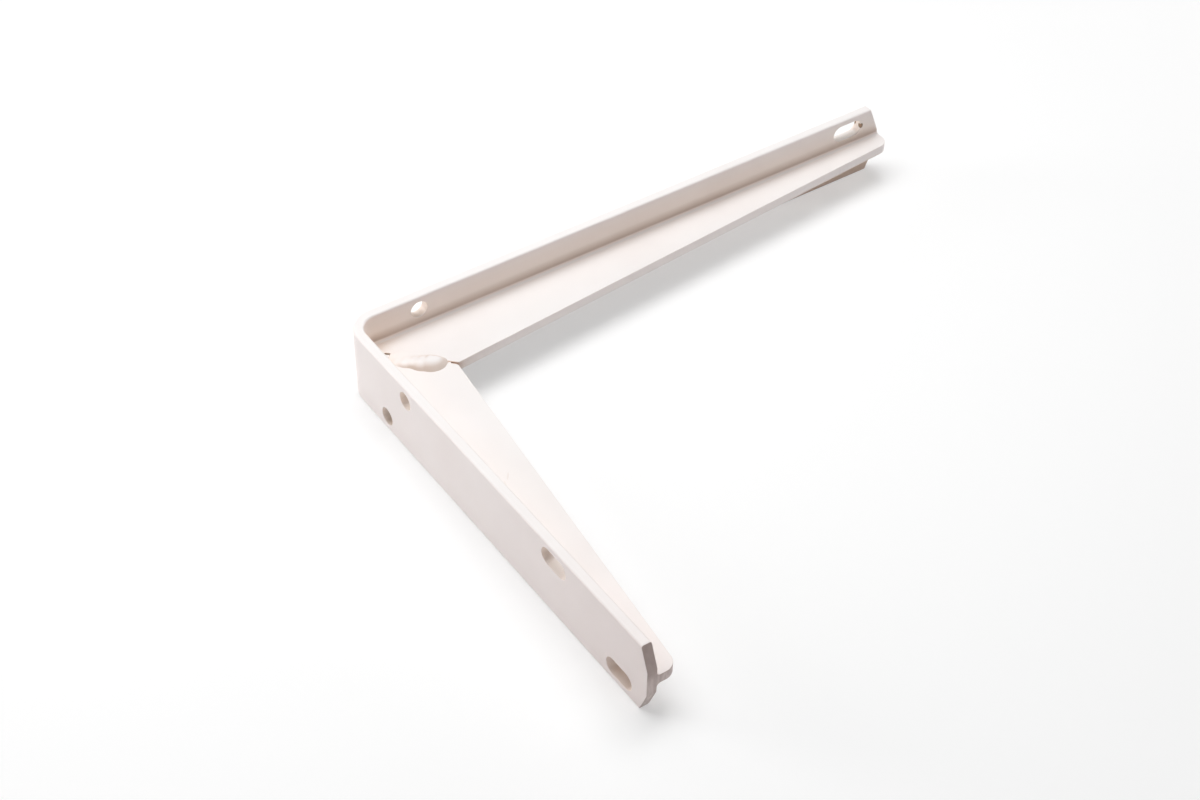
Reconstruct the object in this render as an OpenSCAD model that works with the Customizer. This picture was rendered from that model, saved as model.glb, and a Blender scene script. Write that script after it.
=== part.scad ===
// Shelf bracket: one tee-section steel bar, its web notched and its flange bent
// round the corner, with the mitre in the web closed by a weld bead on one side.
// It lies on its side: X runs along the wall arm, Y along the shelf arm, and Z
// across the flange. The origin is under the middle of the bounding box.

/* [Arms] */
// Length of the shelf arm, from the outer corner to its tip
shelf_arm = 250; // [200:1:400]
// Length of the wall arm, from the outer corner to its tip
wall_arm = 190; // [160:1:400]

/* [Tee section] */
// Width of the flange
flange_w = 30; // [27:1:50]
// Thickness of the flange
flange_t = 4; // [3:0.5:6]
// Thickness of the web
web_t = 4; // [3:0.5:5]
// Rounding along the long edges of the flange
edge_r = 0.8; // [0.3:0.1:1.2]
// Fillet where the web leaves the flange
root_r = 1.5; // [0.5:0.1:2]

/* [Web] */
// Depth of the tee at the corner, from the outer face to the free edge of the web
corner_depth = 30; // [28:1:60]
// Depth of the tee at the tips, where the web ends
tip_depth = 12; // [11:0.5:20]
// Rounding of the free corner of the web at the tips
tip_r = 5; // [2:0.5:6]

/* [Corner] */
// Outer radius of the bend in the flange
bend_r = 11; // [8:0.5:14]
// Width of the mitre gap between the two webs
mitre_gap = 0.8; // [0.4:0.1:1.2]
// Distance from the inside of the bend to the root end of the gap
gap_start = 6.6; // [5:0.1:8]
// Length of the pinhole that the weld leaves open at the root end of the gap
pinhole_len = 2.1; // [1:0.1:3]
// Length of the slit that the weld leaves open at the free edge of the web
slit_len = 4.2; // [2:0.1:6]
// Rounding of the wall arm's web where the slit opens
slit_r = 2; // [0.5:0.5:4]

/* [Arm tips] */
// How far the corners of the flange are cut back at the tip of the shelf arm
shelf_nose_cut = 4.6; // [1:0.1:8]
// Width of the square part in the middle of that tip, level with the web
shelf_nose_flat = 7.4; // [7.2:0.1:12]
// How far the corners of the flange are cut back at the tip of the wall arm
wall_nose_cut = 3.7; // [1:0.1:8]
// Width of the square part in the middle of that tip, level with the web
wall_nose_flat = 11; // [8:0.5:14]

/* [Holes] */
// Diameter of the round screw holes and width of the slots
hole_d = 7; // [4:0.1:8]
// Length of the slots, end to end
slot_len = 14; // [9:0.5:20]
// Distance of the two rows of holes from the middle of the flange
row_offset = 9; // [8.5:0.1:9.5]
// Distance from the outer corner to the round hole that lies nearest to it
near_hole = 30; // [22:1:34]
// Distance from the outer corner to the round hole in the other row
far_hole = 44; // [36:1:60]
// Distance from the tip of the shelf arm to the middle of its outermost slot
shelf_tip_slot = 16.5; // [13:0.5:25]
// Distance from the tip of the wall arm to the middle of its outermost slot
wall_tip_slot = 15; // [13:0.5:25]
// Distance from either tip to the middle of the slot in the other row
inner_slot = 52.5; // [35:0.5:80]

/* [Weld bead] */
// Width of the bead at its thick end, towards the free edge of the web
bead_w = 10; // [6:0.5:12]
// Height of the bead at its thick end
bead_h = 2.6; // [1:0.1:3]
// Width of the bead at its thin end, towards the bend
bead_tail_w = 5.6; // [3:0.1:6]
// Height of the bead at its thin end
bead_tail_h = 1.3; // [0.8:0.1:1.5]
// Distance that the bead stands short of the root end of the weld
bead_inset = 1.8; // [0:0.1:4]
// Distance that the bead laps over the inner end of the slit
bead_overrun = 1; // [0:0.1:2]
// How far the bead leans off the mitre, towards the wall arm
bead_lean = 1.8; // [0:0.1:2.5]
// Number of ripples in the bead
bead_ripples = 7; // [4:1:10]

/* [Hidden] */
$fn = 64;
// Reach of a cutting shape past what it cuts
over = 1;
// The arc at the tips stands this proud, so that it crosses the edges that it joins
proud = 0.01;
mid = flange_w / 2;
web_low = mid - web_t / 2;
web_high = mid + web_t / 2;
// Depth in the flange at which the web starts
web_foot = flange_t / 2;
low_row = mid - row_offset;
high_row = mid + row_offset;
// Places along the mitre, measured from the outer corner
bend_inside = bend_r * sqrt(2) - (bend_r - flange_t);
gap_from = bend_inside + gap_start;
mitre_end = corner_depth * sqrt(2);
weld_from = gap_from + pinhole_len;
weld_to = mitre_end - slit_len;
tail_at = weld_from + bead_inset + bead_tail_w / 2;
head_at = weld_to + bead_overrun - bead_w / 2;

// What a rounding of radius r takes off a square corner at the origin
module edge_waste(r) {
    difference() {
        translate([-over, -over])
            square(r + over);
        translate([r, r])
            circle(r);
    }
}

// Section of the flange: depth along X from its outer face, width along Y
module flange_section() {
    difference() {
        square([flange_t, flange_w]);
        for (x = [0, 1], y = [0, 1])
            translate([x * flange_t, y * flange_w])
                mirror([x, 0])
                    mirror([0, y])
                        edge_waste(edge_r);
    }
}

// The foot of the web with the fillets on both sides of it
module root_section() {
    difference() {
        translate([web_foot, web_low - root_r])
            square([flange_t + root_r - web_foot, web_t + 2 * root_r]);
        for (y = [web_low - root_r, web_high + root_r])
            translate([flange_t + root_r, y])
                circle(root_r);
    }
}

module bar_section() {
    flange_section();
    root_section();
}

// Corners that are cut off the flange at the tip of an arm
module nose_waste(length, cut, flat) {
    for (side = [0, 1])
        translate([0, flange_t + root_r + over, side * flange_w])
            mirror([0, 0, side])
                rotate([90, 0, 0])
                    linear_extrude(flange_t + root_r + 2 * over)
                        polygon([
                            [length - cut, 0],
                            [length, mid - flat / 2],
                            [length + over, mid - flat / 2],
                            [length + over, -over],
                            [length - cut, -over]
                        ]);
}

module round_hole(along, row) {
    translate([along, -over, row])
        rotate([-90, 0, 0])
            cylinder(h = flange_t + 2 * over, d = hole_d);
}

module slot(along, row) {
    reach = (slot_len - hole_d) / 2;
    for (end = [-reach, reach])
        round_hole(along + end, row);
    translate([along - reach, -over, row - hole_d / 2])
        cube([2 * reach, flange_t + 2 * over, hole_d]);
}

// Flange of one arm
module arm_flange(length, tip_slot, near_row, far_row) {
    difference() {
        translate([bend_r, 0, 0])
            rotate([90, 0, 90])
                linear_extrude(length - bend_r)
                    bar_section();
        round_hole(near_hole, near_row);
        round_hole(far_hole, far_row);
        slot(length - tip_slot, near_row);
        slot(length - inner_slot, far_row);
    }
}

// Angle of the free edge of the web to its arm
function taper(length) = atan2(corner_depth - tip_depth, length - corner_depth);

function direction(angle) = [cos(angle), sin(angle)];

// What a rounding of radius r takes off a corner of the web, whose edges leave it
// in the directions a and b, counted anticlockwise. It reaches past both edges.
module corner_waste(corner, a, b, r, reach) {
    half = (b - a) / 2;
    inward = direction(a + half);
    centre = corner + inward * r / sin(half);
    difference() {
        polygon([
            centre,
            centre + (r + reach) * direction(a - 90),
            corner - inward * reach / sin(half),
            centre + (r + reach) * direction(b + 90)
        ]);
        translate(centre)
            circle(r + proud);
    }
}

// Outline of the web of one arm, seen along Z: full depth at the corner, tapered
// to the tip. Between mitre and bend it laps over the web of the other arm.
module web_outline(length) {
    difference() {
        polygon([
            [bend_r, web_foot],
            [length, web_foot],
            [length, tip_depth],
            [corner_depth, corner_depth],
            [web_foot, bend_r]
        ]);
        corner_waste([length, tip_depth], 180 - taper(length), 270, tip_r, over);
    }
}

// One arm, along X from the end of the bend
module arm(length, tip_slot, near_row, far_row) {
    arm_flange(length, tip_slot, near_row, far_row);
    translate([0, 0, web_low])
        linear_extrude(web_t)
            web_outline(length);
}

// Bend of the flange, and the web that fills the inside of it
module corner() {
    translate([bend_r, bend_r, 0])
        rotate([0, 0, 180])
            rotate_extrude(angle = 90)
                translate([bend_r, 0])
                    mirror([1, 0])
                        bar_section();
    intersection() {
        translate([0, 0, web_low])
            cube([bend_r + over, bend_r + over, web_t]);
        translate([bend_r, bend_r, 0])
            cylinder(h = flange_w, r = bend_r - web_foot);
    }
}

// Turns X onto the mitre line, which halves the corner
module along_mitre() {
    rotate([0, 0, 45])
        children();
}

module mitre_gap_waste() {
    along_mitre()
        translate([gap_from, -mitre_gap / 2, web_low - over])
            cube([mitre_end - gap_from + over, mitre_gap, web_t + 2 * over]);
}

// Rounds the web of the wall arm beside the open end of the gap
module slit_mouth_waste() {
    slope = taper(wall_arm);
    shift = mitre_gap / sqrt(2);
    x = corner_depth + shift / (1 + tan(slope));
    translate([0, 0, web_low - over])
        linear_extrude(web_t + 2 * over)
            corner_waste([x, x - shift], 225, 360 - slope, slit_r, mitre_gap / 2);
}

// Moves the outer corner from the origin, so that the origin is mid-way
module placed() {
    translate([-wall_arm / 2, -shelf_arm / 2, 0])
        children();
}

module tee_bar() {
    color("whitesmoke")
        placed()
            difference() {
                union() {
                    arm(wall_arm, wall_tip_slot, low_row, high_row);
                    mirror([1, -1, 0])
                        arm(shelf_arm, shelf_tip_slot, high_row, low_row);
                    corner();
                }
                mitre_gap_waste();
                slit_mouth_waste();
                nose_waste(wall_arm, wall_nose_cut, wall_nose_flat);
                mirror([1, -1, 0])
                    nose_waste(shelf_arm, shelf_nose_cut, shelf_nose_flat);
            }
}

// One ripple of the bead: a cap of a sphere, width w and height h, on the web
module ripple(at, w, h) {
    ball_r = (w * w / 4 + h * h) / (2 * h);
    translate([at, -bead_lean, web_high + h - ball_r])
        rotate([0, 90, 0])
            sphere(ball_r);
}

module bead() {
    intersection() {
        for (i = [0 : bead_ripples - 1]) {
            part = i / (bead_ripples - 1);
            ripple(
                tail_at + part * (head_at - tail_at),
                bead_tail_w + sqrt(part) * (bead_w - bead_tail_w),
                bead_tail_h + sqrt(part) * (bead_h - bead_tail_h)
            );
        }
        translate([0, -bead_w, web_high])
            cube([mitre_end + bead_w, 2 * bead_w, 2 * bead_h]);
    }
}

// Weld metal: it fills the mitre gap and stands proud on the upper side only
module corner_weld() {
    color("gainsboro")
        placed()
            along_mitre() {
                translate([weld_from, -mitre_gap / 2, web_low])
                    cube([weld_to - weld_from, mitre_gap, web_t]);
                bead();
            }
}

tee_bar();
corner_weld();
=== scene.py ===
# %% [markdown]
# Shelf bracket of coated tee bar
#
# The real object is one length of steel tee bar, bent round a corner and closed
# there with a weld. It has one off-white powder coat all over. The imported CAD
# model brings the bar at its true size, and this script gives it its looks:
# the coat, the weld bead, a pale floor, soft lamps and a camera.
#
# The bracket lies on its side, with the wall arm along X and the shelf arm along
# Y. All places are in metres, or in millimetres where they are times MM.

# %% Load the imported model
import bpy
import bmesh
import math
from mathutils import Matrix, Vector


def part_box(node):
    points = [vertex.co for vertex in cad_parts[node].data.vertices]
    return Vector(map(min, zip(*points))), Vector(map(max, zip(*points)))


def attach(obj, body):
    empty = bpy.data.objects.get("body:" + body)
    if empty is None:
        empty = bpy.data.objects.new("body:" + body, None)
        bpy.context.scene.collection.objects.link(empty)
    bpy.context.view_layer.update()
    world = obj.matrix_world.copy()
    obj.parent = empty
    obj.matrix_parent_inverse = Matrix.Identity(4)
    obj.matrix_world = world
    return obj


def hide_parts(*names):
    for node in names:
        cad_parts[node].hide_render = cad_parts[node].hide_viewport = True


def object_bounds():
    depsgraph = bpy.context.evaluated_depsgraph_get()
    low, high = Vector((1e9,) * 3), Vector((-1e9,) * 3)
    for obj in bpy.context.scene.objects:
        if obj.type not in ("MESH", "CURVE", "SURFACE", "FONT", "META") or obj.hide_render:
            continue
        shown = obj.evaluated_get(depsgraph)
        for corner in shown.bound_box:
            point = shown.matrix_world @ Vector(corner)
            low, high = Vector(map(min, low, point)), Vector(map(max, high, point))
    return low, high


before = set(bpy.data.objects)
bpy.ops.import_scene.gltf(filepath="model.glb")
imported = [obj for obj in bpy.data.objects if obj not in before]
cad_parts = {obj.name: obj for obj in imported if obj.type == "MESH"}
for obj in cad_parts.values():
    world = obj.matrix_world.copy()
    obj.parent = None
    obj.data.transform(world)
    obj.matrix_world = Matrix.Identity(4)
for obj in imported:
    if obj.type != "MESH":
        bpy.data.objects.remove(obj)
cad_low, cad_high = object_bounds()
MM = 0.001
print("CAD box in mm:", [round(side / MM, 1) for side in cad_high - cad_low])

# %% [markdown]
# The camera
#
# The photograph was taken from above and in front, over the open side of the
# bracket. A camera is a place, a direction and a focal length. All three were
# found by matching the long straight edges of the bracket, so the direction is
# given as two angles and a small roll, and the place in metres.

# %% Camera
CAMERA_PLACE = Vector((0.43547, -0.38634, 0.52768))
CAMERA_AZIMUTH = 54.652
CAMERA_ELEVATION = 42.454
CAMERA_ROLL = 1.022
CAMERA_LENS = 63.78


def camera_axes(azimuth, elevation, roll):
    """Right, up and back directions of a camera that looks at the bracket."""
    a, e, r = (math.radians(angle) for angle in (azimuth, elevation, roll))
    back = Vector((math.sin(a) * math.cos(e), -math.cos(a) * math.cos(e), math.sin(e)))
    level = Vector((0, 0, 1)).cross(back).normalized()
    upright = back.cross(level)
    right = math.cos(r) * level + math.sin(r) * upright
    return right, back.cross(right), back


camera_data = bpy.data.cameras.new("camera")
camera_data.lens = CAMERA_LENS
camera = bpy.data.objects.new("camera", camera_data)
bpy.context.scene.collection.objects.link(camera)
bpy.context.scene.camera = camera
axes = camera_axes(CAMERA_AZIMUTH, CAMERA_ELEVATION, CAMERA_ROLL)
camera.matrix_world = Matrix.Translation(CAMERA_PLACE) @ Matrix(axes).transposed().to_4x4()
print("camera at", tuple(round(x, 3) for x in CAMERA_PLACE))

# %% [markdown]
# Building materials
#
# Every material here is a small graph of nodes in a node tree. Nodes could be set
# up one by one, but most steps are the same few: reckon with two values, stretch
# a value, or blend two shaders. So each of them is a short function that adds its
# node to a tree and returns the output. The values that it takes are outputs of
# other nodes. Only reckon and product take plain numbers, too.

# %% Node helpers
def new_material(name):
    """A material with nothing in its node tree. Returns the material and the tree."""
    material = bpy.data.materials.new(name)
    material.use_nodes = True
    material.node_tree.nodes.clear()
    return material, material.node_tree


def reckon(tree, operation, first, second=0.0):
    """Two values brought together by a sum, a product or the like."""
    node = tree.nodes.new("ShaderNodeMath")
    node.operation = operation
    for socket, value in zip(node.inputs, (first, second)):
        if isinstance(value, (int, float)):
            socket.default_value = value
        else:
            tree.links.new(value, socket)
    return node.outputs[0]


def product(tree, first, *others):
    """All the values times each other. A product of masks is where all of them hold."""
    for other in others:
        first = reckon(tree, "MULTIPLY", first, other)
    return first


def rises(tree, value, start, end, low=0.0, high=1.0):
    """Low where the value is up to start, high from end on, a straight slope between."""
    node = tree.nodes.new("ShaderNodeMapRange")
    ends = {"From Min": start, "From Max": end, "To Min": low, "To Max": high}
    for name, number in ends.items():
        node.inputs[name].default_value = number
    tree.links.new(value, node.inputs["Value"])
    return node.outputs["Result"]


def fades(tree, value, start, end):
    """1 where the value is up to start, 0 from end on."""
    return rises(tree, value, start, end, 1.0, 0.0)


def looked_at(tree):
    """1 for rays that look at a surface, straight from the camera, in a reflection or
    through glass, and 0 for rays that carry its light to others."""
    rays = tree.nodes.new("ShaderNodeLightPath").outputs
    factor = rays["Is Camera Ray"]
    for kind in ("Is Glossy Ray", "Is Transmission Ray"):
        factor = reckon(tree, "MAXIMUM", factor, rays[kind])
    return factor


def blend_shaders(tree, factor, first, second):
    """First shader where the factor is 0, second where it is 1."""
    mix = tree.nodes.new("ShaderNodeMixShader")
    for socket, source in zip(mix.inputs, (factor, first, second)):
        tree.links.new(source, socket)
    return mix.outputs[0]


# %% [markdown]
# The floor
#
# The bracket lies on a wide sheet of white studio paper. Such a sheet often curves
# up behind the object, but the room here is just as white, so one flat square is
# enough. It lies a hair under the bracket, because two faces at the same height
# would flicker into each other.

# %% Floor sheet
FLOOR_HALF = 4.0
FLOOR_DROP = 0.05 * MM

floor_mesh = bpy.data.meshes.new("floor")
signs = ((-1, -1), (1, -1), (1, 1), (-1, 1))
corners = [(x * FLOOR_HALF, y * FLOOR_HALF, -FLOOR_DROP) for x, y in signs]
floor_mesh.from_pydata(corners, [], [(0, 1, 2, 3)])
floor = bpy.data.objects.new("floor", floor_mesh)
bpy.context.scene.collection.objects.link(floor)
print("floor:", 2 * FLOOR_HALF, "m wide,", round(FLOOR_DROP / MM, 2), "mm under the bracket")

# %% [markdown]
# White paper with a soft shadow
#
# The photograph shows the paper as pure white with a soft grey shadow along the
# steel. Stronger lamps would do that too, but they would burn out the coat. So
# the paper does it: where it is looked at, it glows by itself a little and
# scatters less, which lifts the shadow without losing it. Far from the bracket,
# where the lamps do not reach, it is looked at as plain white, and from below it
# is not seen at all, so that the underside of the bracket can be looked at too.
# For the light that it throws back up, it is plain white paper all over.

# %% Studio paper
PAPER = (0.90, 0.90, 0.90, 1)
SEEN_PAPER = (0.605, 0.605, 0.605, 1)
SEEN_GLOW = 0.41
WHITE = (1, 1, 1, 1)
# Distance from the origin over which the paper turns plain white
FADE_FROM, FADE_TO = 0.24, 0.60


def matt_paper(tree, colour):
    """Paper that scatters light evenly."""
    node = tree.nodes.new("ShaderNodeBsdfDiffuse")
    node.inputs["Color"].default_value = colour
    return node.outputs[0]


def white_glow(tree, strength):
    """White light given off by the surface itself."""
    node = tree.nodes.new("ShaderNodeEmission")
    node.inputs["Color"].default_value = WHITE
    node.inputs["Strength"].default_value = strength
    return node.outputs[0]


paper, tree = new_material("studio paper")
lifted = tree.nodes.new("ShaderNodeAddShader")
tree.links.new(matt_paper(tree, SEEN_PAPER), lifted.inputs[0])
tree.links.new(white_glow(tree, SEEN_GLOW), lifted.inputs[1])
from_middle = tree.nodes.new("ShaderNodeVectorMath")
from_middle.operation = "LENGTH"
tree.links.new(tree.nodes.new("ShaderNodeTexCoord").outputs["Object"], from_middle.inputs[0])
far = rises(tree, from_middle.outputs["Value"], FADE_FROM, FADE_TO)
seen = blend_shaders(tree, far, lifted.outputs[0], white_glow(tree, 1.0))
sheet = blend_shaders(tree, looked_at(tree), matt_paper(tree, PAPER), seen)
from_below = tree.nodes.new("ShaderNodeNewGeometry").outputs["Backfacing"]
by_camera = tree.nodes.new("ShaderNodeLightPath").outputs["Is Camera Ray"]
clear = tree.nodes.new("ShaderNodeBsdfTransparent").outputs[0]
surface = blend_shaders(tree, product(tree, from_below, by_camera), sheet, clear)
tree.links.new(surface, tree.nodes.new("ShaderNodeOutputMaterial").inputs["Surface"])
floor_mesh.materials.append(paper)
print("paper:", PAPER[0], "for light,", SEEN_PAPER[0], "and a glow of", SEEN_GLOW, "for the eye")

# %% [markdown]
# The lamps
#
# In a studio, big white boxes light the object from above and behind, so that
# the upper faces shine and the faces towards the camera stay a shade darker. The
# end of the wall arm is darkest, so nearly all of the light comes from the other
# side. One big lamp would be simpler, but then the two arms get equal light.
# Each lamp stands at a turn from +X and an angle of height, as seen from a place
# near the corner of the bracket.

# %% Lamps
LAMP_CENTRE = Vector((-0.065, -0.095, 0.0))
LAMP_DISTANCE = 0.8
LAMP_SIDE = 0.32
LAMPS = {
    # name: (turn, height angle, watts)
    "overhead": (0, 90, 1.26),
    "high_back": (120, 65, 2.06),
    "high_back_left": (180, 65, 1.11),
    "high_left": (240, 65, 1.32),
    "low_left": (225, 15, 2.19),
    "low_back": (90, 15, 0.63),
    "low_right": (0, 15, 0.54),
}


def softbox(name, turn, height, watts):
    """A square lamp that faces the bracket from one side of the studio."""
    t, h = math.radians(turn), math.radians(height)
    direction = Vector((math.cos(t) * math.cos(h), math.sin(t) * math.cos(h), math.sin(h)))
    data = bpy.data.lights.new(name, "AREA")
    data.shape = "SQUARE"
    data.size = LAMP_SIDE
    data.energy = watts
    lamp = bpy.data.objects.new(name, data)
    lamp.location = LAMP_CENTRE + direction * LAMP_DISTANCE
    lamp.rotation_mode = "QUATERNION"
    lamp.rotation_quaternion = direction.to_track_quat("Z", "Y")
    bpy.context.scene.collection.objects.link(lamp)


for name, facts in LAMPS.items():
    softbox(name, *facts)
print(len(LAMPS), "lamps,", round(sum(facts[2] for facts in LAMPS.values()), 1), "watts")

# %% [markdown]
# The room
#
# Round the paper the room is white to the eye and in reflections, and nearly
# dark as a light, so the lamps alone shape the bracket. A picture of a studio
# could do both at once, but two plain backgrounds are easier to set.

# %% World
ROOM_LIGHT = 0.13

world = bpy.data.worlds.new("studio")
bpy.context.scene.world = world
world.use_nodes = True
tree = world.node_tree
tree.nodes.clear()


def background(tree, strength):
    """White light from all round."""
    node = tree.nodes.new("ShaderNodeBackground")
    node.inputs["Color"].default_value = WHITE
    node.inputs["Strength"].default_value = strength
    return node.outputs[0]


room = blend_shaders(tree, looked_at(tree), background(tree, ROOM_LIGHT), background(tree, 1.0))
tree.links.new(room, tree.nodes.new("ShaderNodeOutputWorld").inputs["Surface"])
print("room light", ROOM_LIGHT)

# %% [markdown]
# The powder coat
#
# Powder coat is plastic that was dusted on and baked, so it has no brush marks:
# it is even in colour, satin, and very slightly dimpled like orange peel. In
# corners, slots and gaps the colour is painted tan and brownish, as shade. One
# painted picture would show all that, but it has to be redrawn for every shape.
# Here each trait is a small function that changes the colour where it applies.
# They share four helpers: a noise, a blend of colours, a tint where a mask holds,
# and the three parts of a place or a direction.

# %% Colour helpers
# Where the Mix node keeps its two colours and its result
FIRST_COLOUR, SECOND_COLOUR, MIXED_COLOUR = 6, 7, 2


def noise_layer(tree, place, size, detail=2.0):
    """A noise whose blobs are about size metres wide. Returns its output from 0 to 1."""
    layer = tree.nodes.new("ShaderNodeTexNoise")
    layer.inputs["Scale"].default_value = 1 / size
    layer.inputs["Detail"].default_value = detail
    tree.links.new(place, layer.inputs["Vector"])
    return layer.outputs["Fac"]


def blend_colours(tree, factor, first, second, way="MIX"):
    """First colour where the factor is 0, second where it is 1."""
    mix = tree.nodes.new("ShaderNodeMix")
    mix.data_type = "RGBA"
    mix.blend_type = way
    tree.links.new(factor, mix.inputs["Factor"])
    for index, colour in ((FIRST_COLOUR, first), (SECOND_COLOUR, second)):
        if isinstance(colour, tuple):
            mix.inputs[index].default_value = (*colour, 1)
        else:
            tree.links.new(colour, mix.inputs[index])
    return mix.outputs[MIXED_COLOUR]


def tinted(tree, mask, colour, tint):
    """The colour, times the tint where the mask is 1."""
    return blend_colours(tree, mask, colour, tint, way="MULTIPLY")


def split(tree, vector):
    """The three parts of a vector."""
    node = tree.nodes.new("ShaderNodeSeparateXYZ")
    tree.links.new(vector, node.inputs[0])
    return node.outputs


# %% [markdown]
# Painted shade in corners
#
# In a corner the colour is painted darker and browner, as shade. Corners could be
# marked by hand, but Cycles can measure how much of the open air a spot sees, and a
# ramp turns that into colour: off-white in the open, tan in a corner, brown in a
# gap. Upright faces are painted a little warmer than level ones, as warm shade, so
# each kind has its own ramp. The weld has one more, because its steep flanks get a
# browner painted shade still.

# %% Coat by open air
# Painted shade: darker and browner the less open air a spot sees, and upright faces painted
# warmer
UPRIGHT_COAT_AND_SHADE = (
    # open air seen, colour
    (0.04, (0.22, 0.15, 0.11)),
    (0.14, (0.88, 0.75, 0.64)),
    (0.50, (0.97, 0.86, 0.78)),
    (0.75, (0.975, 0.85, 0.78)),
    (0.90, (0.95, 0.86, 0.82)),
    (1.00, (0.94, 0.865, 0.845)),
)
# Painted shade on level faces, by the open air seen
LEVEL_COAT_AND_SHADE = (
    (0.04, (0.22, 0.15, 0.11)),
    (0.30, (0.80, 0.66, 0.56)),
    (0.50, (0.85, 0.76, 0.70)),
    (0.62, (0.885, 0.84, 0.82)),
    (1.00, (0.885, 0.853, 0.841)),
)
# Painted shade on the steep flanks of the weld, browner than on the bar
WELD_FLANK_SHADE = (
    (0.04, (0.22, 0.15, 0.11)),
    (0.50, (0.62, 0.51, 0.44)),
    (1.00, (0.76, 0.66, 0.60)),
)


def ramp_colours(tree, value, stops):
    """Colour by value, along stops of (value, colour)."""
    ramp = tree.nodes.new("ShaderNodeValToRGB")
    elements = ramp.color_ramp.elements
    while len(elements) < len(stops):
        elements.new(0.5)
    for element, (at, colour) in zip(elements, stops):
        element.position = at
        element.color = (*colour, 1)
    tree.links.new(value, ramp.inputs["Fac"])
    return ramp.outputs["Color"]


def coat_with_painted_shade(tree, air, level, upright_shade_stops):
    """Coat colour with painted shade by the open air seen: one ramp for upright faces, one for
    level ones.
    """
    upright = ramp_colours(tree, air, upright_shade_stops)
    return blend_colours(tree, level, upright, ramp_colours(tree, air, LEVEL_COAT_AND_SHADE))


print("coat on open faces:", LEVEL_COAT_AND_SHADE[-1][1])

# %% [markdown]
# The inner faces of the flange
#
# Where the flange meets the web, and under the web near the tip of the shelf arm,
# the inner faces get a deeper painted shade. The ramp alone can't tell these places
# from other corners. A mask can: it takes the faces that look along X or Y,
# and keeps what lies near the web, or under it and deep enough in the flange.

# %% Inner faces
# Thickness of flange and web, and height of the middle of the web
FLANGE = 4 * MM
WEB = 4 * MM
WEB_MIDDLE = 15 * MM
# Painted shade where the flange meets the web
ROOT_SHADE = (0.68, 0.61, 0.575)
# Distance from the middle of the web
ROOT_FROM, ROOT_TO = 3 * MM, 7 * MM
# Open air seen at the root, and further out
ROOT_AIR, OUTER_AIR = 0.78, 0.90
# How squarely a face looks along X or Y: the flat of the flange, and its fillet
SQUARE_FROM, SQUARE_TO = 0.80, 0.97
FILLET_FROM, FILLET_TO = 0.25, 0.70
# Depth in the flange from which a spot belongs to the inner face
INNER_FROM, INNER_TO = FLANGE - 0.4 * MM, FLANGE - 0.2 * MM
# Painted shade under the web, near the tip of the shelf arm
UNDER_SHADE = (0.77, 0.66, 0.57)
UNDER_WEB = WEB_MIDDLE - WEB / 2
UNDER_BLEND = 1 * MM
# Places along the shelf arm between which the tint under the web comes up
UNDER_FROM, UNDER_TO = cad_high.y - 70 * MM, cad_high.y - 35 * MM


def flange_depth(tree, where):
    """Depth below the nearer one of the two outer faces of the flange."""
    from_shelf = reckon(tree, "SUBTRACT", where["X"], cad_low.x)
    from_wall = reckon(tree, "SUBTRACT", where["Y"], cad_low.y)
    return reckon(tree, "MINIMUM", from_shelf, from_wall)


def shade_on_inner_faces(tree, colour, air, where, facing):
    """Paints shade on the inner faces of the flange: beside the web, and near the tip of the
    shelf arm, under the web too."""
    along_x = reckon(tree, "ABSOLUTE", facing["X"])
    along_y = reckon(tree, "ABSOLUTE", facing["Y"])
    sideways = reckon(tree, "MAXIMUM", along_x, along_y)
    from_web = reckon(tree, "ABSOLUTE", reckon(tree, "SUBTRACT", where["Z"], WEB_MIDDLE))
    root = product(
        tree,
        rises(tree, sideways, SQUARE_FROM, SQUARE_TO),
        fades(tree, air, ROOT_AIR, OUTER_AIR),
        fades(tree, from_web, ROOT_FROM, ROOT_TO),
    )
    under = product(
        tree,
        rises(tree, sideways, FILLET_FROM, FILLET_TO),
        rises(tree, flange_depth(tree, where), INNER_FROM, INNER_TO),
        fades(tree, where["Z"], UNDER_WEB - UNDER_BLEND, UNDER_WEB + UNDER_BLEND),
        rises(tree, where["Y"], UNDER_FROM, UNDER_TO),
    )
    return tinted(tree, under, tinted(tree, root, colour, ROOT_SHADE), UNDER_SHADE)


print("root of the web: tint", ROOT_SHADE, "within", round(ROOT_TO / MM, 1), "mm of its middle")

# %% [markdown]
# Holes and slit
#
# The walls of the screw holes and of the slit at the open end of the mitre face
# each other over a few millimetres or less, and they get painted shade. Their
# colour could come from the ramp alone, but the level walls of the holes are
# painted a shade warmer than other spots that see as much air, and the slit
# darker. The two masks say where a wall is: in the thickness of the flange, or
# close to the mitre and past the bead.

# %% Holes and slit
# Painted warm shade on the level walls of the holes
HOLE_SHADE = (1.0, 0.965, 0.925)
# Open air seen in a hole, and out of it
HOLE_AIR, OPEN_AIR = 0.80, 0.95
# Painted shade on the walls of the slit
SLIT_SHADE = (0.85, 0.75, 0.68)
# Place along X where the slit begins, and the span over which its tint comes up
SLIT_FROM = cad_low.x + 26 * MM
SLIT_BLEND = 1 * MM
# Distance from the middle of the mitre, along X, within which a spot belongs to the
# slit, and beyond which it doesn't
SLIT_WALL, SLIT_OUTSIDE = 0.75 * MM, 1.0 * MM


def warm_shade_in_holes(tree, colour, air, level, where):
    """Paints a warm shade on the level walls of the screw holes and slots."""
    in_flange = fades(tree, flange_depth(tree, where), INNER_FROM, INNER_TO)
    wall = product(tree, in_flange, level, fades(tree, air, HOLE_AIR, OPEN_AIR))
    return tinted(tree, wall, colour, HOLE_SHADE)


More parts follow.
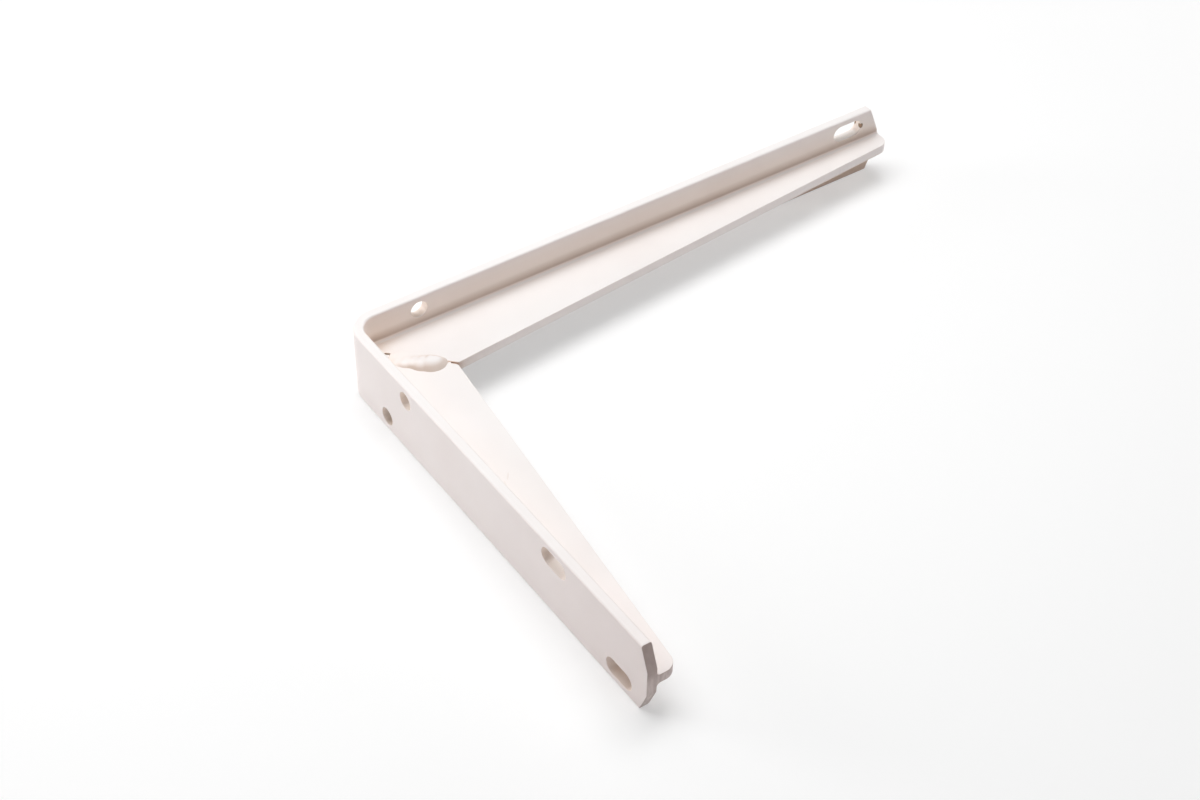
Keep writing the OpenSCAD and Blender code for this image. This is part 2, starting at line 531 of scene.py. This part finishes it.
def shade_in_slit(tree, colour, where):
    """Paints shade on the walls of the slit at the open end of the mitre."""
    aside = reckon(tree, "SUBTRACT", where["X"], cad_low.x - cad_low.y)
    aside = reckon(tree, "ABSOLUTE", reckon(tree, "SUBTRACT", aside, where["Y"]))
    near = fades(tree, aside, SLIT_WALL, SLIT_OUTSIDE)
    past_bead = rises(tree, where["X"], SLIT_FROM, SLIT_FROM + SLIT_BLEND)
    return tinted(tree, product(tree, near, past_bead), colour, SLIT_SHADE)


print("holes: tint", HOLE_SHADE, "slit: tint", SLIT_SHADE)

# %% [markdown]
# Tip and sheared ends
#
# The bar was sheared to length. The sheared faces are rough, with faint stain
# streaks up and down the cut; their grey-brown colour and darker upper part are
# painted shade. Towards the tip of the wall arm the colour is a little darker and
# pinker, too. A second material on the end faces would have to be given out face
# by face. A mask by place and direction finds the same faces without that.

# %% Tip and ends
TIP_TINT = (0.965, 0.935, 0.93)
TIP_FROM = cad_low.x + 100 * MM
# Painted shade on the sheared ends: a dark tone and a paler one, mixed in stain streaks
END_DARK = (0.40, 0.30, 0.275)
END_PALE = (0.66, 0.555, 0.53)
END_STAIN = 1.2 * MM
# Places are squeezed along Z before the noise, which draws its blobs out to streaks
END_STREAKS = (1.0, 1.0, 0.2)
# Noise between which a streak turns pale, and the share of pale that all have
STAIN_FROM, STAIN_TO, STAIN_LEAST = 0.35, 0.65, 0.45
# Heights between which the end turns dark with painted shade, and what is left of the pale tone
# above
DARK_FROM, DARK_TO, DARK_SHARE = 16 * MM, 19 * MM, 0.25
# The masks hold from this far before the end of an arm, where a face looks outward
CUT_DEPTH = 5 * MM
CUT_BLEND = 0.2 * MM
OUTWARD_FROM, OUTWARD_TO = 0.6, 0.85


def darker_pinker_tip(tree, colour, where):
    """The coat gets a little darker and pinker towards the tip of the wall arm."""
    return tinted(tree, rises(tree, where["X"], TIP_FROM, cad_high.x), colour, TIP_TINT)


def stained_and_shaded_ends(tree, colour, place, where, facing):
    """Gives the sheared ends their painted shade and their stain streaks."""
    drawn_out = tree.nodes.new("ShaderNodeVectorMath")
    drawn_out.operation = "MULTIPLY"
    tree.links.new(place, drawn_out.inputs[0])
    drawn_out.inputs[1].default_value = END_STREAKS
    streaks = noise_layer(tree, drawn_out.outputs[0], END_STAIN)
    stain = rises(tree, streaks, STAIN_FROM, STAIN_TO, STAIN_LEAST, 1.0)
    paler_below = rises(tree, where["Z"], DARK_FROM, DARK_TO, 1.0, DARK_SHARE)
    end_tone = blend_colours(tree, product(tree, stain, paler_below), END_DARK, END_PALE)
    for axis, end in (("X", cad_high.x), ("Y", cad_high.y)):
        start = end - CUT_DEPTH
        beyond = rises(tree, where[axis], start - CUT_BLEND, start + CUT_BLEND)
        outward = rises(tree, facing[axis], OUTWARD_FROM, OUTWARD_TO)
        colour = blend_colours(tree, product(tree, beyond, outward), colour, end_tone)
    return colour


print("sheared ends: from", END_DARK, "to", END_PALE)

# %% [markdown]
# Marks
#
# The bracket has a few marks: in the outermost slot of the shelf arm, two brown
# spots of painted shade where the end of the slot lies in shade and a pale patch
# of painted light on its lower wall, and on the web of the wall arm, two faint
# scratches. Each is a small ellipsoid in space with a soft edge, and tints
# whatever surface runs through it, darker below 1 and lighter above. Painting on
# the mesh would need its faces cut finer.

# %% Marks
MARKS = (
    # place from the low corner of the box and half sizes in mm, turn in degrees, tint
    # Painted shade: two brown spots where the end of the slot lies in shade
    ((3.8, 240.8, 24.0), (1.6, 1.0, 1.3), 0, (0.33, 0.24, 0.16)),
    ((0.3, 240.3, 24.2), (0.9, 0.7, 1.3), 0, (0.33, 0.24, 0.16)),
    # Painted light: a pale patch on the lower wall of the slot
    ((2.0, 233.5, 20.5), (2.0, 8.0, 1.7), 0, (1.10, 1.16, 1.21)),
    ((89.3, 13.5, 17.0), (2.1, 0.35, 0.4), -37, (0.95, 0.93, 0.91)),
    ((92.1, 10.7, 17.0), (1.7, 0.35, 0.4), -17, (0.95, 0.93, 0.91)),
)
# Share of its half size at which a mark begins to fade
MARK_EDGE = 0.75


def ellipsoid(tree, place, centre, half_sizes, turn):
    """1 inside a small ellipsoid about a place, 0 outside, with a soft edge."""
    mapping = tree.nodes.new("ShaderNodeMapping")
    mapping.vector_type = "TEXTURE"
    tree.links.new(place, mapping.inputs["Vector"])
    mapping.inputs["Location"].default_value = centre
    mapping.inputs["Rotation"].default_value = (0.0, 0.0, math.radians(turn))
    mapping.inputs["Scale"].default_value = half_sizes
    length = tree.nodes.new("ShaderNodeVectorMath")
    length.operation = "LENGTH"
    tree.links.new(mapping.outputs["Vector"], length.inputs[0])
    return fades(tree, length.outputs["Value"], MARK_EDGE, 1.0)


def marks(tree, colour, place):
    """All the marks, each with its own tint."""
    for centre, half_sizes, turn, tint in MARKS:
        at = (cad_low + Vector(centre) * MM)[:]
        sizes = [size * MM for size in half_sizes]
        colour = tinted(tree, ellipsoid(tree, place, at, sizes, turn), colour, tint)
    return colour


print(len(MARKS), "marks")

# %% [markdown]
# Satin skin
#
# Baked powder has a satin skin, with patches that are a little glossier and a
# fine dimpling. The dimples are a few thousandths of a millimetre high, so they
# are bump and not shape: bump only tilts the light that a face throws back. Two
# layers lie over each other, the peel and a finer grain.

# %% Satin skin
GLOSS_PATCH = 6 * MM
PATCH_FROM, PATCH_TO = 0.3, 0.7
PEEL_SIZE, PEEL_HEIGHT = 1.1 * MM, 0.008 * MM
GRAIN_SIZE, GRAIN_HEIGHT = 0.28 * MM, 0.0015 * MM


def dimples(tree, place, size, height):
    """A bump node with dimples of one size."""
    bump = tree.nodes.new("ShaderNodeBump")
    bump.inputs["Distance"].default_value = height
    tree.links.new(noise_layer(tree, place, size, detail=1.0), bump.inputs["Height"])
    return bump


def satin_skin(tree, shader, place, gloss):
    """Gives the shader its patches of gloss, between two roughness values, and its dimples."""
    patches = noise_layer(tree, place, GLOSS_PATCH, detail=3.0)
    roughness = rises(tree, patches, PATCH_FROM, PATCH_TO, *gloss)
    tree.links.new(roughness, shader.inputs["Roughness"])
    peel = dimples(tree, place, PEEL_SIZE, PEEL_HEIGHT)
    grain = dimples(tree, place, GRAIN_SIZE, GRAIN_HEIGHT)
    tree.links.new(peel.outputs["Normal"], grain.inputs["Normal"])
    tree.links.new(grain.outputs["Normal"], shader.inputs["Normal"])


print("peel:", round(PEEL_HEIGHT / MM, 4), "mm high,", round(PEEL_SIZE / MM, 1), "mm wide")

# %% [markdown]
# The whole coat
#
# Now the traits come together in one material. Each face could have a material of
# its own, but where two of them meet there would be a seam. The open air is
# measured within 20 mm. On the bar only its own faces count for that, so that the
# floor doesn't darken it. On the weld the bar counts too, because its corners are
# those with the web. Slow clouds of tone lie over all of it.

# %% Powder coat
CORNER_REACH = 20 * MM
AIR_SAMPLES = 16
# How squarely a face has to look up or down to count as partly level, on the bar,
# and as fully level, on bar and weld
BAR_LEVEL_FROM = 0.60
LEVEL_FULL = 0.95
CLOUD_TINT = (0.975, 0.965, 0.960)
CLOUD_SIZE = 30 * MM
CLOUD_FROM, CLOUD_TO = 0.35, 0.70
BAR_GLOSS = (0.36, 0.48)


def powder_coat(name, gloss, upright_shade_stops, level_from, on_bar):
    """The off-white coat with its painted shade, for the bar or for the weld."""
    material, tree = new_material(name)
    coordinates = tree.nodes.new("ShaderNodeTexCoord").outputs
    place = coordinates["Object"]
    where = split(tree, place)
    facing = split(tree, coordinates["Normal"])
    open_air = tree.nodes.new("ShaderNodeAmbientOcclusion")
    open_air.samples = AIR_SAMPLES
    open_air.only_local = on_bar
    open_air.inputs["Distance"].default_value = CORNER_REACH
    air = open_air.outputs["AO"]
    level = rises(tree, reckon(tree, "ABSOLUTE", facing["Z"]), level_from, LEVEL_FULL)
    colour = coat_with_painted_shade(tree, air, level, upright_shade_stops)
    clouds = noise_layer(tree, place, CLOUD_SIZE, detail=3.0)
    colour = tinted(tree, rises(tree, clouds, CLOUD_FROM, CLOUD_TO), colour, CLOUD_TINT)
    if on_bar:
        colour = shade_on_inner_faces(tree, colour, air, where, facing)
        colour = warm_shade_in_holes(tree, colour, air, level, where)
        colour = darker_pinker_tip(tree, colour, where)
        colour = shade_in_slit(tree, colour, where)
        colour = stained_and_shaded_ends(tree, colour, place, where, facing)
        colour = marks(tree, colour, place)
    shader = tree.nodes.new("ShaderNodeBsdfPrincipled")
    tree.links.new(colour, shader.inputs["Base Color"])
    satin_skin(tree, shader, place, gloss)
    output = tree.nodes.new("ShaderNodeOutputMaterial")
    tree.links.new(shader.outputs[0], output.inputs["Surface"])
    return material


bar_coat = powder_coat("powder coat on the bar", BAR_GLOSS, UPRIGHT_COAT_AND_SHADE, BAR_LEVEL_FROM, True)
print(len(bar_coat.node_tree.nodes), "nodes in the coat of the bar")

# %% [markdown]
# The bar
#
# The bar keeps its CAD mesh, because its shape is right. Only two things are
# missing: a coat, and the soft edge that a coat gives to cut steel. The mesh
# may not be edited, so the edge comes from modifiers. The first two join the
# faces that were imported apart and make one face of each flat. The third
# switches smooth shading on, the bevel rounds what is still sharp, and the last
# one keeps the flats looking flat. The masks of the coat go by places in the
# room, so the bar has to stand unmoved.

# %% Bar
EDGE_ROUNDING = 0.25 * MM
EDGE_STEPS = 3
JOIN_DISTANCE = 0.001 * MM
FLAT_WITHIN = math.radians(0.5)
SHARP_FROM = math.radians(35)
FLAT_WEIGHT = 100


def shade_smooth_group():
    """A node group for a modifier that only switches smooth shading on."""
    group = bpy.data.node_groups.new("smooth shading", "GeometryNodeTree")
    group.interface.new_socket("Geometry", in_out="INPUT", socket_type="NodeSocketGeometry")
    group.interface.new_socket("Geometry", in_out="OUTPUT", socket_type="NodeSocketGeometry")
    start = group.nodes.new("NodeGroupInput")
    smooth = group.nodes.new("GeometryNodeSetShadeSmooth")
    end = group.nodes.new("NodeGroupOutput")
    group.links.new(start.outputs[0], smooth.inputs["Geometry"])
    group.links.new(smooth.outputs[0], end.inputs[0])
    return group


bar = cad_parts["tee_bar"]
assert bar.matrix_world == Matrix.Identity(4)
bar.data.materials.clear()
bar.data.materials.append(bar_coat)
weld = bar.modifiers.new("join faces", "WELD")
weld.merge_threshold = JOIN_DISTANCE
whole = bar.modifiers.new("whole flat faces", "DECIMATE")
whole.decimate_type = "DISSOLVE"
whole.angle_limit = FLAT_WITHIN
bar.modifiers.new("smooth shading", "NODES").node_group = shade_smooth_group()
bevel = bar.modifiers.new("coated edges", "BEVEL")
bevel.width = EDGE_ROUNDING
bevel.segments = EDGE_STEPS
bevel.limit_method = "ANGLE"
bevel.angle_limit = SHARP_FROM
bevel.use_clamp_overlap = False
flat = bar.modifiers.new("flat faces stay flat", "WEIGHTED_NORMAL")
flat.mode = "FACE_AREA"
flat.weight = FLAT_WEIGHT
bar_low, bar_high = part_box("tee_bar")
print("bar from", [round(x / MM, 1) for x in bar_low], "to", [round(x / MM, 1) for x in bar_high])

# %% [markdown]
# Places on the mitre
#
# The weld runs along the mitre, the line at 45 degrees from the outer corner to
# the free corner of the web. It is easiest to shape in places of its own: how
# far along the mitre, how far aside, and how high over the web.

# %% Places on the mitre
CORNER = Vector((bar_low.x, bar_low.y))
WEB_TOP = WEB_MIDDLE + WEB / 2
MITRE = Vector((1, 1)).normalized()
TO_WALL_ARM = Vector((1, -1)).normalized()


def on_web(along, aside, height):
    """A point by its distance along the mitre from the outer corner, its distance
    aside towards the wall arm, and its height over the web."""
    flat = CORNER + along * MITRE + aside * TO_WALL_ARM
    return Vector((flat.x, flat.y, WEB_TOP + height))


print("web from", round(UNDER_WEB / MM, 1), "to", round(WEB_TOP / MM, 1), "mm")

# %% [markdown]
# The shape of the weld bead
#
# The welder closed the mitre in the web with a short run of drops that grow
# towards the free corner: thin and flat near the bend, thick and blunt at the
# end. Towards the wall arm the metal stops at a steep toe, and towards the
# shelf arm it flows out flat. A sculpted mesh or metaballs could give this, but
# a height field is exact and easy to read: each drop is a low dome, and a soft
# maximum melts the domes together, as the metal did. Here all is in mm.

# %% Weld bead shape
DROPS = (
    # place along, place aside, half length, reach to the wall arm, to the shelf arm, height
    (19.4, 0.4, 2.35, 2.4, 2.0, 0.3),
    (21.2, 2.6, 3.4, 3.6, 3.4, 0.75),
    (24.0, 3.0, 4.2, 3.6, 4.6, 1.3),
    (27.0, 2.8, 4.6, 3.6, 5.2, 1.7),
    (29.8, 2.4, 5.0, 4.8, 5.6, 2.2),
    (33.0, 1.4, 5.7, 5.6, 4.8, 2.9),
    (34.8, 1.0, 4.3, 4.9, 3.9, 2.6),
)
# Power of the fall at the steep toe, and the way from the middle of a drop to its
# toe, as a part along the mitre and a part aside
STEEPNESS = 2.3
TOE_WAY = (0.5, 0.87)
# Cosine of the turn away from the toe at which the steep fall ends, and the span of
# cosines over which it changes to the flat flow
TOE_ENDS = 0.45
FLOW_SPAN = 0.9
# How fast a flowing side goes on down below the web
FALL_OUTSIDE = 0.5
# How softly the drops melt together, and how deep the sheet dips under the web
MELT = 0.25
SUNK = 0.35


def drop_height(along, aside, drop):
    """Height of one dome over the web. It goes on below the web outside the dome."""
    centre, side, half, to_wall, to_shelf, top = drop
    a = (along - centre) / half
    b = (aside - side) / (to_wall if aside > side else to_shelf)
    out = math.hypot(a, b)
    steep = 1 - out ** STEEPNESS
    flowing = (1 - out) ** 2 * (1 + 2 * out) if out < 1 else -FALL_OUTSIDE * (out - 1) ** 2
    to_toe = (a * TOE_WAY[0] + b * TOE_WAY[1]) / out if out else 1
    share = min(1.0, max(0.0, (TOE_ENDS - to_toe) / FLOW_SPAN)) ** 2
    return top * (steep + share * (flowing - steep))


def bead_height(along, aside):
    """Height of all the melted drops over the web. Two equal drops keep their height
    where they meet."""
    heights = [drop_height(along, aside, drop) for drop in DROPS]
    top = max(heights)
    melted = top + MELT * math.log(sum(math.exp((h - top) / MELT) for h in heights))
    return max(melted - MELT * math.log(2), -SUNK)


print("bead height at the largest drop:", round(bead_height(*DROPS[5][:2]), 2), "mm")

# %% [markdown]
# The mesh of the weld bead
#
# The height field becomes a closed sheet: a fine grid of points on top, the same
# grid a little under the face of the web, and a rim between them. What dips under
# the web is hidden in it, so the outline of the bead is where the sheet comes up.
# A thin block fills the mitre gap below, as the weld metal does.

# %% Weld bead mesh
# Reach of the grid along the mitre and aside, and its step, in mm
BEAD_FROM, BEAD_TO = 17.3, 40.1
BEAD_LEFT, BEAD_RIGHT = -6.0, 8.0
BEAD_STEP = 0.2
SHEET_BOTTOM = WEB_TOP - 2 * SUNK * MM
# Places along the mitre between which the weld metal fills the gap
FILL_FROM, FILL_TO = 17.26 * MM, 38.23 * MM
GAP_WIDTH = 0.8 * MM


def bead_point(i, j):
    """A point of the top, by its column along the mitre and its row aside."""
    along, aside = BEAD_FROM + i * BEAD_STEP, BEAD_LEFT + j * BEAD_STEP
    return on_web(along * MM, aside * MM, bead_height(along, aside) * MM)


def closed_sheet(mesh, columns, rows):
    """Adds the top, the flat bottom under it and the rim that joins them."""
    top = [[mesh.verts.new(bead_point(i, j)) for j in range(rows)] for i in range(columns)]
    under = [[mesh.verts.new((v.co.x, v.co.y, SHEET_BOTTOM)) for v in line] for line in top]
    for i in range(columns - 1):
        for j in range(rows - 1):
            mesh.faces.new((top[i][j], top[i][j + 1], top[i + 1][j + 1], top[i + 1][j]))
            mesh.faces.new((under[i][j], under[i + 1][j], under[i + 1][j + 1], under[i][j + 1]))
    rim = [(i, 0) for i in range(columns)]
    rim += [(columns - 1, j) for j in range(1, rows)]
    rim += [(i, rows - 1) for i in range(columns - 2, -1, -1)]
    rim += [(0, j) for j in range(rows - 2, 0, -1)]
    for (i, j), (k, m) in zip(rim, rim[1:] + rim[:1]):
        mesh.faces.new((top[i][j], top[k][m], under[k][m], under[i][j]))


def gap_fill(mesh):
    """Adds the thin block of weld metal in the mitre gap."""
    for vert in bmesh.ops.create_cube(mesh, size=1)["verts"]:
        x, y, z = vert.co
        at = on_web(FILL_FROM if x < 0 else FILL_TO, math.copysign(GAP_WIDTH / 2, y), 0)
        vert.co = Vector((at.x, at.y, UNDER_WEB if z < 0 else WEB_TOP))


bead_mesh = bmesh.new()
columns = int((BEAD_TO - BEAD_FROM) / BEAD_STEP) + 1
rows = int((BEAD_RIGHT - BEAD_LEFT) / BEAD_STEP) + 1
closed_sheet(bead_mesh, columns, rows)
gap_fill(bead_mesh)
bmesh.ops.recalc_face_normals(bead_mesh, faces=bead_mesh.faces)
for face in bead_mesh.faces:
    face.smooth = True
bead_data = bpy.data.meshes.new("weld_bead")
bead_mesh.to_mesh(bead_data)
bead_mesh.free()
print("weld bead:", len(bead_data.polygons), "faces")

# %% [markdown]
# The bead on the bracket
#
# The finished bead takes the place of the plain weld of the CAD model, and goes
# where the bracket goes. It could share the material of the bar, but its flanks
# get a browner painted shade. So it gets a coat of its own from the same
# function, with the ramp of painted shade for the flanks and patches that differ
# more in gloss.

# %% Weld bead
WELD_GLOSS = (0.34, 0.50)
WELD_LEVEL_FROM = 0.78

bead = bpy.data.objects.new("weld_bead", bead_data)
bpy.context.scene.collection.objects.link(bead)
weld_coat = powder_coat("powder coat on the weld", WELD_GLOSS, WELD_FLANK_SHADE, WELD_LEVEL_FROM, False)
bead_data.materials.append(weld_coat)
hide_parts("corner_weld")
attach(bead, "root")
print(len(weld_coat.node_tree.nodes), "nodes in the coat of the weld")

# %% [markdown]
# Colours as they are written
#
# The Standard view shows a colour nearly as it is written, so the coat can be
# compared with the photograph step by step.

# %% Look settings
bpy.context.scene.view_settings.view_transform = "Standard"
print("view:", bpy.context.scene.view_settings.view_transform)
